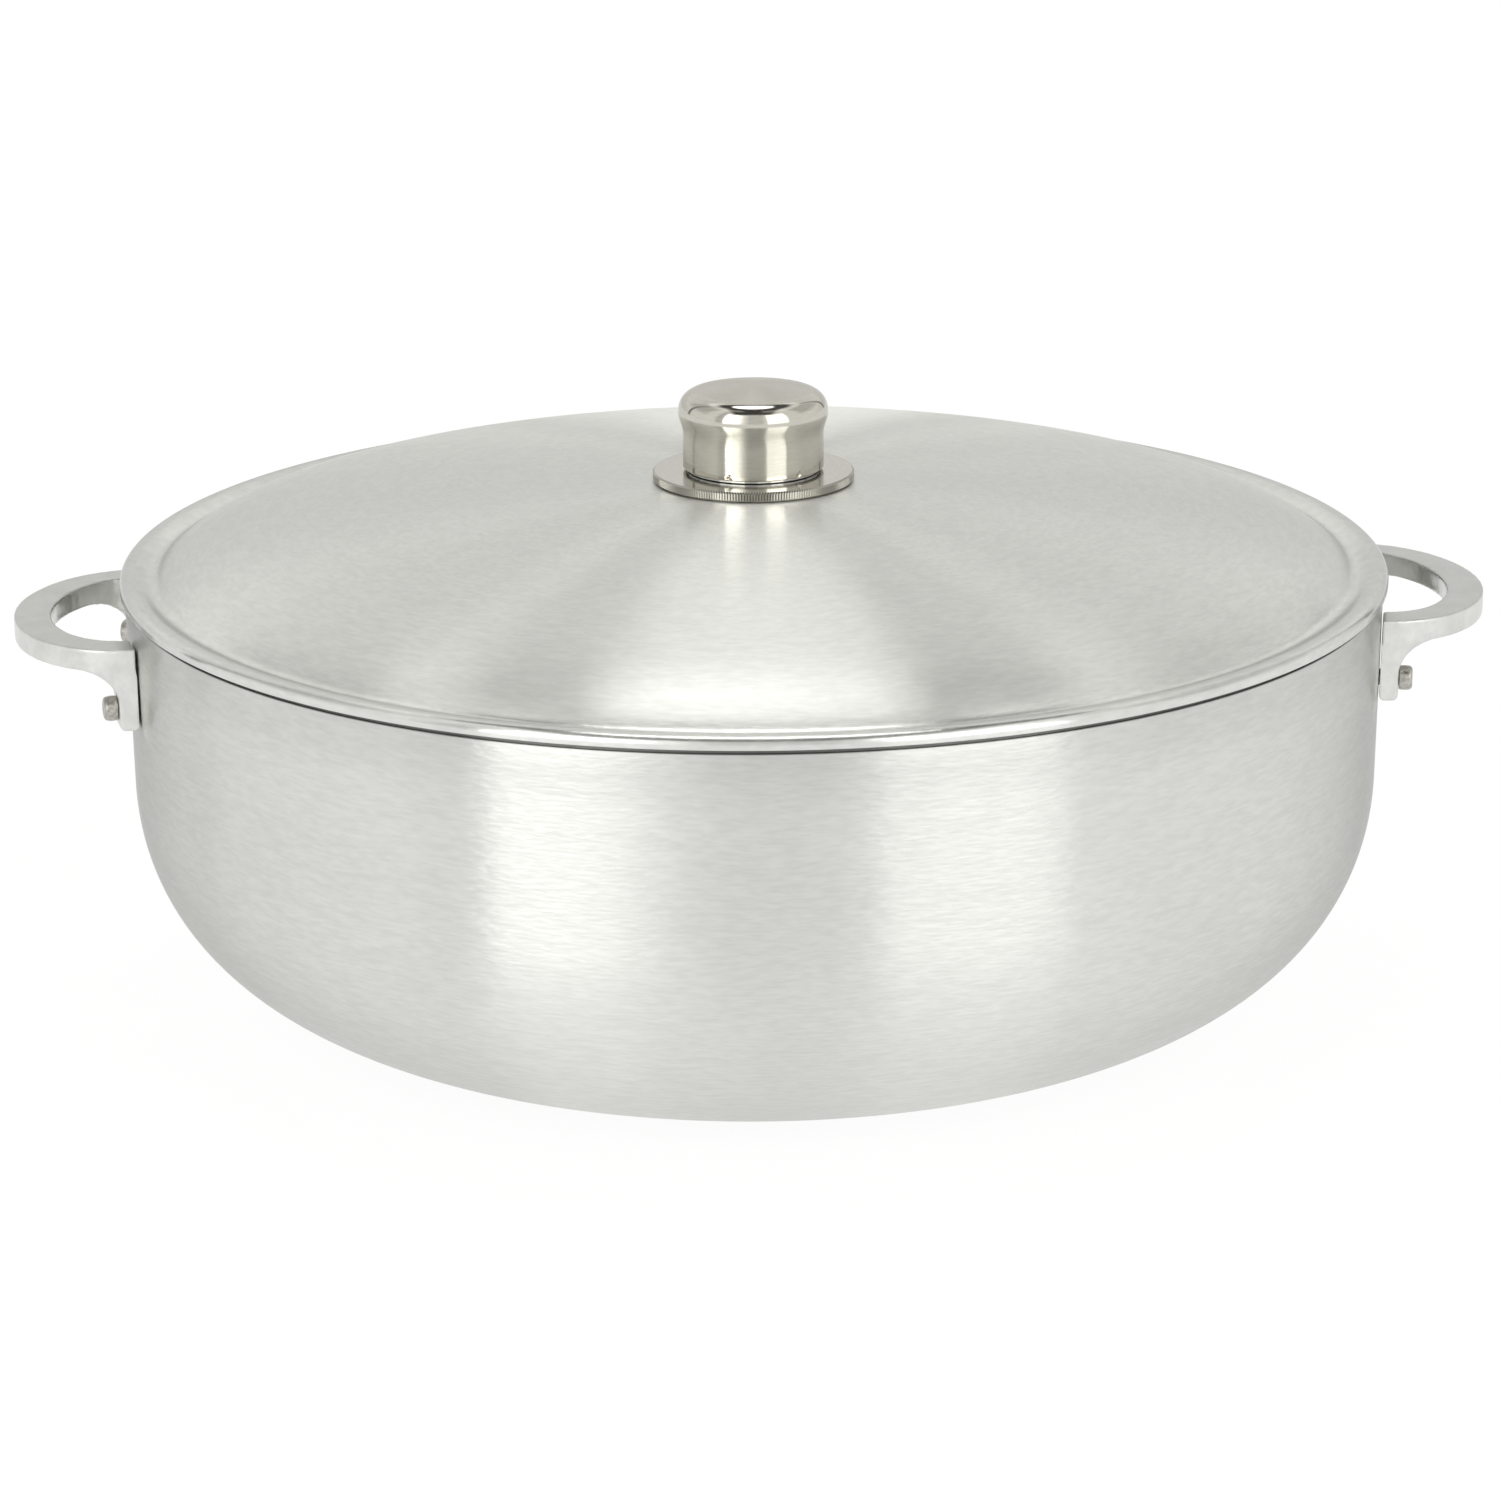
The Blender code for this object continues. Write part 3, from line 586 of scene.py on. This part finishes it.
def make_knob_cap(material):
    middle = (0.0, CAP_HEIGHT)
    top_edge = (CAP_TOP_RADIUS, CAP_HEIGHT - CAP_TOP_RISE)
    widest = (CAP_HEAD_RADIUS, CAP_HEAD_HEIGHT)
    skirt_top = (CAP_SKIRT_RADIUS, CAP_SKIRT_HEIGHT)
    crown_pulls = ((8.5 * MM, CAP_HEIGHT), (13.4 * MM, top_edge[1] + 1.0 * MM))
    side_pulls = (
        (21.4 * MM, top_edge[1] - 0.4 * MM),
        (CAP_HEAD_RADIUS, widest[1] + 4.6 * MM),
    )
    waist_pulls = (
        (CAP_HEAD_RADIUS, widest[1] - 2.6 * MM),
        (CAP_SKIRT_RADIUS, skirt_top[1] + 4.0 * MM),
    )
    edge_round = 0.35 * MM
    edge_centre = (CAP_SKIRT_RADIUS - edge_round, edge_round)
    stake_top = (CAP_SKIRT_RADIUS, STAKE_HEIGHT)
    outside = [
        middle,
        *bezier(middle, *crown_pulls, top_edge, 14),
        *bezier(top_edge, *side_pulls, widest, 18),
        *bezier(widest, *waist_pulls, skirt_top, 14),
        *line(skirt_top, stake_top, 6),
        *line(stake_top, (CAP_SKIRT_RADIUS, edge_round), 12)[:-1],
        *arc(edge_centre, edge_round, edge_round, 0, -90, 4),
    ]
    inside = [point for point in offset(outside, CAP_THICKNESS) if point[1] > edge_round]
    inside[0] = (0.0, CAP_HEIGHT - CAP_THICKNESS)
    skirt_mouth = (CAP_SKIRT_RADIUS - CAP_THICKNESS, 0.0)
    profile = outside + [skirt_mouth] + inside[::-1]
    profile = [(radius, height + CAP_LOW.z) for radius, height in profile]
    cap = revolve("knob_cap_fine", profile, KNOB_STEPS, shape=stake_dent)
    return finish_mesh(cap, material, sharp_degrees=40.0)


def make_knob_disc(material):
    top, bottom = DISC_TOP.z, DISC_LOW.z
    chamfer = 0.5 * MM

    def tooth(radius, height, angle):
        if radius < DISC_RADIUS - 0.5 * chamfer:
            return radius
        place = (angle * DISC_TEETH / (2 * math.pi)) % 1.0
        in_groove = abs(place - 0.5) < 0.5 / TOOTH_STEPS
        return radius - TOOTH_DEPTH if in_groove else radius

    profile = [
        (SCREW_HOLE_RADIUS, top),
        *line((SCREW_HOLE_RADIUS, top), (DISC_RADIUS - chamfer, top), 8),
        (DISC_RADIUS, top - chamfer),
        *line((DISC_RADIUS, top - chamfer), (DISC_RADIUS, bottom + chamfer), 5),
        (DISC_RADIUS - chamfer, bottom),
        (SCREW_HOLE_RADIUS, bottom),
    ]
    disc = revolve("knob_disc_fine", profile, DISC_TEETH * TOOTH_STEPS, ring=True, shape=tooth)
    return finish_mesh(disc, material, sharp_degrees=28.0)


def foot_section():
    """Radius and height outline of a handle: the foot on the wall and the flat bar above it."""
    def wall(height):
        along = (height - POT_CORNER_HEIGHT) / (POT_HEIGHT - POT_CORNER_HEIGHT)
        return POT_WALL_RADIUS + (POT_RIM_RADIUS - POT_WALL_RADIUS) * along + FOOT_GAP

    underside = HANDLE_TOP - HANDLE_THICKNESS
    far = HANDLE_CENTRE + HANDLE_REACH + 10 * MM
    fillet_centre = (FOOT_OUTER_RADIUS + FOOT_FILLET_WIDTH, underside - FOOT_FILLET_HEIGHT)
    outer_toe = (FOOT_OUTER_RADIUS - FOOT_CORNER, FOOT_BOTTOM + FOOT_CORNER)
    inner_toe = (wall(FOOT_BOTTOM) + FOOT_CORNER, FOOT_BOTTOM + FOOT_CORNER)
    return [
        (wall(HANDLE_TOP), HANDLE_TOP),
        (far, HANDLE_TOP),
        (far, underside),
        *arc(fillet_centre, FOOT_FILLET_WIDTH, FOOT_FILLET_HEIGHT, 90, 180, 16),
        *arc(outer_toe, FOOT_CORNER, FOOT_CORNER, 0, -90, 6),
        *arc(inner_toe, FOOT_CORNER, FOOT_CORNER, -90, -180, 6),
    ]


def loop_plan():
    """Outline of the handle seen from above: half an ellipse outside, half an ellipse inside."""
    centre = (HANDLE_CENTRE, 0.0)
    return [
        (HANDLE_ROOT, -HANDLE_HALF_WIDTH),
        *arc(centre, HANDLE_REACH, HANDLE_HALF_WIDTH, -90, 90, 72),
        (HANDLE_ROOT, HANDLE_HALF_WIDTH),
        (HANDLE_ROOT, HOLE_HALF_WIDTH),
        *arc(centre, HOLE_REACH, HOLE_HALF_WIDTH, 90, -90, 56),
        (HANDLE_ROOT, -HOLE_HALF_WIDTH),
    ]


def prism(name, outline, bottom, top):
    """A closed upright prism on an outline in the XY plane."""
    shape = bmesh.new()
    floor = shape.faces.new([shape.verts.new((x, y, bottom)) for x, y in outline])
    raised = bmesh.ops.extrude_face_region(shape, geom=[floor])["geom"]
    moved = [item for item in raised if isinstance(item, bmesh.types.BMVert)]
    bmesh.ops.translate(shape, verts=moved, vec=(0.0, 0.0, top - bottom))
    bmesh.ops.recalc_face_normals(shape, faces=shape.faces)
    mesh = bpy.data.meshes.new(name)
    shape.to_mesh(mesh)
    shape.free()
    return add_object(name, mesh)


def handle_casting():
    """Mesh of a handle on +X: the loop's plan cut to the turned section, its edges rounded."""
    handle = prism("handle_casting", loop_plan(), FOOT_BOTTOM - 5 * MM, HANDLE_TOP + 5 * MM)
    section = revolve("handle_section", foot_section(), SECTION_STEPS, ring=True)
    cut = handle.modifiers.new("section", "BOOLEAN")
    cut.operation = "INTERSECT"
    cut.object = section
    cut.solver = "EXACT"
    remesh = handle.modifiers.new("skin", "REMESH")
    remesh.mode = "VOXEL"
    remesh.voxel_size = CAST_VOXEL
    smooth = handle.modifiers.new("tumbling", "SMOOTH")
    smooth.factor = 0.5
    smooth.iterations = CAST_SMOOTHING
    casting = applied(handle).data
    bpy.data.objects.remove(section)
    bpy.data.objects.remove(handle)
    return casting


def make_handle(casting, side, facing, material):
    """A copy of the casting turned to its side, with its own small lumps."""
    mesh = casting.copy()
    mesh.transform(Matrix.Rotation(facing, 4, "Z"))
    handle = add_object(f"handle_{side}_fine", mesh)
    normals = [vertex.normal.copy() for vertex in mesh.vertices]
    for vertex, normal in zip(mesh.vertices, normals):
        lump = noise.noise(vertex.co * 190.0) + 0.5 * noise.noise(vertex.co * 480.0)
        vertex.co -= normal * CAST_LUMPS * (1.0 + lump)
    return finish_mesh(handle, material, sharp_degrees=180.0)


def make_rivet(side, end, outwards, material):
    """Barrel-shaped head, shank, and a low domed tail on the inside of the wall."""
    wall_inside = POT_WALL_RADIUS - POT_THICKNESS
    tail_top = -0.3 * MM
    foot_outside = FOOT_OUTER_RADIUS - wall_inside
    head_seat = foot_outside + 0.05 * MM
    head_top = foot_outside + RIVET_HEAD_HEIGHT + RIVET_HEAD_PROUD
    side_radius = RIVET_HEAD_RADIUS - RIVET_HEAD_BULGE
    head_corner = (side_radius - RIVET_HEAD_ROUND, head_top - RIVET_HEAD_ROUND)
    side_top = (side_radius, head_corner[1])
    side_bottom = (side_radius, foot_outside + 0.2 * MM)
    widest = RIVET_HEAD_RADIUS + 0.3 * RIVET_HEAD_BULGE
    side_pulls = tuple(
        (widest, side_top[1] + (side_bottom[1] - side_top[1]) * share) for share in (0.33, 0.67)
    )
    dimple = (0.0, head_top - RIVET_DIMPLE[1])
    dimple_edge = (RIVET_DIMPLE[0], head_top)
    dimple_pulls = ((1.0 * MM, dimple[1]), (1.5 * MM, head_top))
    profile = [
        dimple,
        *bezier(dimple, *dimple_pulls, dimple_edge, 6),
        *arc(head_corner, RIVET_HEAD_ROUND, RIVET_HEAD_ROUND, 90, 0, 8),
        *bezier(side_top, *side_pulls, side_bottom, 8),
        (RIVET_HEAD_RADIUS - 0.4 * MM, head_seat),
        (RIVET_SHANK_RADIUS, head_seat),
        (RIVET_SHANK_RADIUS, tail_top),
        *arc((0.0, tail_top), RIVET_TAIL_RADIUS, RIVET_TAIL_HEIGHT, 0, -84, 10),
        (0.0, tail_top - RIVET_TAIL_HEIGHT),
    ]
    seed = outwards * 50.0

    def hammered(radius, height, angle):
        if radius <= RIVET_SHANK_RADIUS:
            return radius
        place = Vector((math.cos(angle), math.sin(angle), height * 250.0))
        return radius + RIVET_DENTS * noise.noise(place * 1.7 + seed)

    rivet = revolve(f"rivet_{side}_{end}_fine", profile, SMALL_STEPS, shape=hammered)
    place = Matrix.Translation(outwards * wall_inside + Vector((0, 0, RIVET_HEIGHT)))
    turn = outwards.to_track_quat("Z", "Y").to_matrix().to_4x4()
    rivet.data.transform(place @ turn)
    return finish_mesh(rivet, material)


def make_washer(name, material):
    """A flat ring with eased edges, at its CAD node's place and size."""
    low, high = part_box(name)
    ease = 0.2 * MM
    outer = high.y
    profile = [
        (SCREW_HOLE_RADIUS + ease, high.z),
        (outer - ease, high.z),
        (outer, high.z - ease),
        (outer, low.z + ease),
        (outer - ease, low.z),
        (SCREW_HOLE_RADIUS + ease, low.z),
        (SCREW_HOLE_RADIUS, low.z + ease),
        (SCREW_HOLE_RADIUS, high.z - ease),
    ]
    return finish_mesh(revolve(f"{name}_fine", profile, SMALL_STEPS, ring=True), material)


def make_pieces(metals):
    """Every fine piece, as (piece, CAD node it stands for, body, material slot)."""
    made = [
        (make_pot(metals["pot"]), "pot_shell", "pot", "pot"),
        (make_lid(metals["lid"]), "lid_shell", "lid", "lid"),
        (make_knob_cap(metals["cap"]), "knob_cap", "lid", "knob"),
        (make_knob_disc(metals["disc"]), "knob_disc", "lid", "knob"),
        (make_washer("knob_washer", metals["fixing"]), "knob_washer", "lid", "fixing"),
    ]
    casting = handle_casting()
    for side, facing in (("right", 0.0), ("left", math.pi)):
        handle = make_handle(casting, side, facing, metals["handle"])
        made.append((handle, f"handle_{side}", "pot", "handle"))
        for end, turn in (("front", -RIVET_ANGLE), ("back", RIVET_ANGLE)):
            angle = facing + (turn if side == "right" else -turn)
            outwards = Vector((math.cos(angle), math.sin(angle), 0.0))
            rivet = make_rivet(side, end, outwards, metals["rivet"])
            made.append((rivet, f"rivet_{side}_{end}", "pot", "rivet"))
    return made


# ---------------------------------------------------------------- floor, light and camera

CAMERA_AZIMUTH = math.radians(-3.771)   # round the axis from -Y, negative towards -X
CAMERA_ELEVATION = math.radians(17.32)
CAMERA_DISTANCE = 1.4861
CAMERA_TARGET = Vector((0.0, 0.0, 0.0758))
CAMERA_ROLL = math.radians(-0.285)

BOX_STRENGTH = 1.85           # of the softboxes, on top of the surroundings' 1.0
BOX_STRENGTH_MIRRORED = 4.2   # the same, for light that one piece mirrors into another
LAMP_STRENGTH = 2.35
HALO_STRENGTH = 0.36


def make_camera():
    data = bpy.data.cameras.new("camera")
    data.lens = 108.0
    data.sensor_width = 36.0
    data.shift_x = -0.0032
    data.clip_start = 0.05
    data.clip_end = 100.0
    camera = bpy.data.objects.new("camera", data)
    bpy.context.scene.collection.objects.link(camera)
    level = Vector((math.sin(CAMERA_AZIMUTH), -math.cos(CAMERA_AZIMUTH), 0.0))
    back = level * math.cos(CAMERA_ELEVATION) + Vector((0.0, 0.0, math.sin(CAMERA_ELEVATION)))
    aim = (-back).to_track_quat("-Z", "Y").to_matrix().to_4x4()
    place = Matrix.Translation(CAMERA_TARGET + back * CAMERA_DISTANCE)
    camera.matrix_world = place @ aim @ Matrix.Rotation(CAMERA_ROLL, 4, "Z")
    bpy.context.scene.camera = camera


def make_floor():
    """A plain pale floor that glows a little, like a light table, so shadows stay faint."""
    mesh = bpy.data.meshes.new("floor")
    reach = 30.0
    signs = ((-1, -1), (1, -1), (1, 1), (-1, 1))
    corners = [(reach * x, reach * y, 0.0) for x, y in signs]
    mesh.from_pydata(corners, [], [(0, 1, 2, 3)])
    floor = add_object("floor", mesh)
    floor.location.z = cad_low.z - 0.3 * MM
    material = bpy.data.materials.new("pale_floor")
    material.use_nodes = True
    shader = material.node_tree.nodes["Principled BSDF"]
    shader.inputs["Base Color"].default_value = (0.12, 0.12, 0.12, 1.0)
    shader.inputs["Roughness"].default_value = 0.9
    shader.inputs["Specular IOR Level"].default_value = 0.0
    shader.inputs["Emission Color"].default_value = (1.0, 1.0, 1.0, 1.0)
    shader.inputs["Emission Strength"].default_value = 0.9
    mesh.materials.append(material)


def rise(tree, value, low, high):
    """0 below low and 1 above high. Both are angles in degrees."""
    return remap(tree, value, math.radians(low), math.radians(high))


def fall(tree, value, low, high):
    """1 below low and 0 above high. Both are angles in degrees."""
    return remap(tree, value, math.radians(low), math.radians(high), 1.0, 0.0)


def panel(tree, azimuth, elevation, left, right, bottom, top):
    """1 inside a patch of the sky. Each side is a pair of angles in degrees to fade between."""
    across = maths(tree, "MULTIPLY", rise(tree, azimuth, *left), fall(tree, azimuth, *right))
    upright = maths(tree, "MULTIPLY", rise(tree, elevation, *bottom), fall(tree, elevation, *top))
    return maths(tree, "MULTIPLY", across, upright)


def softboxes(tree, azimuth, elevation):
    """Two upright softboxes in front, the left one a little brighter at its outer edge."""
    bottom, top = (-8, -5), (42, 47)
    left = panel(tree, azimuth, elevation, (-47.6, -46.6), (-31, -9), bottom, top)
    left_edge = panel(tree, azimuth, elevation, (-47.6, -46.6), (-44, -39), bottom, top)
    right = panel(tree, azimuth, elevation, (20.5, 23.5), (54.5, 57), bottom, top)
    boxes = maths(tree, "ADD", left, maths(tree, "MULTIPLY", left_edge, 0.35))
    return maths(tree, "ADD", boxes, maths(tree, "MULTIPLY", right, 0.75))


def overhead_lamp(tree, parts):
    """A round light overhead, a little behind the pot: its disc, its wide black rim, and a
    faint halo on both sides of it."""
    height = maths(tree, "MAXIMUM", parts["Z"], 0.01)
    aside = maths(tree, "DIVIDE", parts["X"], height)
    behind = maths(tree, "SUBTRACT", maths(tree, "DIVIDE", parts["Y"], height), 0.25)
    squares = maths(tree, "ADD", maths(tree, "POWER", aside, 2.0), maths(tree, "POWER", behind, 2.0))
    away = maths(tree, "SQRT", squares)
    lamp = remap(tree, away, 0.23, 0.27, 1.0, 0.0)
    wider = maths(tree, "SUBTRACT", away, remap(tree, aside, 0.1, 0.3, 0.0, 0.06))
    rim_outside = remap(tree, wider, 0.40, 0.52, 1.0, 0.0)
    rim = maths(tree, "MULTIPLY", remap(tree, away, 0.23, 0.27), rim_outside)
    halo_outside = remap(tree, wider, 0.60, 0.8, 1.0, 0.0)
    halo = maths(tree, "MULTIPLY", remap(tree, wider, 0.46, 0.56), halo_outside)
    beside = remap(tree, maths(tree, "ABSOLUTE", aside), 0.1, 0.3)
    return lamp, rim, maths(tree, "MULTIPLY", halo, beside)


def dark_screens(tree, parts, azimuth, elevation):
    """Darker patches of the surroundings, each with how dark it is."""
    across = maths(tree, "ARCSINE", parts["X"])
    tilt = maths(tree, "ARCTAN2", parts["Z"], parts["Y"])
    turned = maths(tree, "ABSOLUTE", azimuth)
    low = maths(tree, "MULTIPLY", fall(tree, elevation, 12, 22), 0.85)
    high = maths(tree, "MULTIPLY", rise(tree, elevation, 18, 50), fall(tree, elevation, 62, 78))
    backdrop = maths(tree, "MULTIPLY", rise(tree, turned, 100, 150), maths(tree, "ADD", low, high))
    ceiling = panel(tree, across, tilt, (-30, -20), (20, 30), (89, 92), (128, 136))
    between_boxes = panel(tree, azimuth, elevation, (-10, -6), (14, 18), (-10, -5), (50, 60))
    beside_left = panel(tree, azimuth, elevation, (-63, -57), (-50, -48), (-10, -5), (50, 60))
    gap_left = panel(tree, azimuth, elevation, (-119, -118), (-113, -112), (-10, -5), (60, 75))
    gap_right = panel(tree, azimuth, elevation, (137, 138), (142, 143), (-10, -5), (60, 75))
    sides = panel(tree, turned, elevation, (75, 90), (125, 145), (15, 32), (60, 75))
    return (
        (ceiling, 0.93),
        (between_boxes, 0.2),
        (gap_left, 0.7),
        (gap_right, 0.7),
        (beside_left, 0.3),
        (sides, 0.34),
        (backdrop, 0.15),
    )


def make_studio():
    """Even white surroundings, two upright softboxes in front and one round light overhead.
    The camera itself sees plain white round the floor, and the softboxes are stronger in what
    one piece mirrors of another, as on the knob's skirt."""
    world = bpy.data.worlds.new("studio")
    bpy.context.scene.world = world
    world.use_nodes = True
    tree = world.node_tree
    background = tree.nodes["Background"]
    direction = node(tree, "ShaderNodeTexCoord").outputs["Generated"]
    turned = node(
        tree, "ShaderNodeVectorRotate", {"Vector": direction, "Angle": -CAMERA_AZIMUTH},
        rotation_type="Z_AXIS",
    ).outputs[0]
    parts = node(tree, "ShaderNodeSeparateXYZ", {0: turned}).outputs
    front = maths(tree, "MULTIPLY", parts["Y"], -1.0)
    azimuth = maths(tree, "ARCTAN2", parts["X"], front)
    elevation = maths(tree, "ARCSINE", parts["Z"])

    boxes = softboxes(tree, azimuth, elevation)
    lamp, rim, halo = overhead_lamp(tree, parts)
    dark = maths(tree, "MULTIPLY", rim, 0.9)
    for screen, darkness in dark_screens(tree, parts, azimuth, elevation):
        dark = maths(tree, "MAXIMUM", dark, maths(tree, "MULTIPLY", screen, darkness))
    path = node(tree, "ShaderNodeLightPath").outputs
    mirrored_twice = maths(tree, "GREATER_THAN", path["Ray Depth"], 2.5)
    box_strength = remap(
        tree, mirrored_twice, 0.0, 1.0, BOX_STRENGTH, BOX_STRENGTH_MIRRORED, smooth=False
    )
    level = maths(tree, "SUBTRACT", 1.0, dark)
    for light, strength in ((boxes, box_strength), (lamp, LAMP_STRENGTH), (halo, HALO_STRENGTH)):
        level = maths(tree, "ADD", level, maths(tree, "MULTIPLY", light, strength))
    mix = node(tree, "ShaderNodeMix", {"Factor": path["Is Camera Ray"], "B": 1.0}, data_type="FLOAT")
    tree.links.new(level, mix.inputs["A"])
    tree.links.new(mix.outputs["Result"], background.inputs["Strength"])
    background.inputs["Color"].default_value = (1.0, 1.0, 0.98, 1.0)


# ---------------------------------------------------------------- scene

def main():
    metals = {
        "pot": pot_aluminium(),
        "lid": lid_aluminium(),
        "handle": cast_aluminium(),
        "rivet": rivet_aluminium(),
        "cap": polished_steel(
            "knob_cap_steel", satin_above=CAP_TOP.z - CAP_TOP_RISE, shaded_beyond=NOWHERE,
            roughness=0.09, edge=0.83,
        ),
        "disc": polished_steel(
            "knob_disc_steel", satin_above=NOWHERE, shaded_beyond=DISC_RADIUS - 0.7 * MM,
            roughness=0.13, edge=0.9,
        ),
        "fixing": plated_steel(),
    }
    for piece, cad_node, body, slot in make_pieces(metals):
        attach(piece, body)
        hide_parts(cad_node)
    for name in ("knob_base_plate", "knob_screw", "knob_lock_washer"):
        cad_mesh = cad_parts[name].data
        cad_mesh.materials.clear()
        cad_mesh.materials.append(metals["fixing"])
    make_floor()
    make_studio()
    make_camera()
    bpy.context.scene.view_settings.view_transform = "Standard"


main()
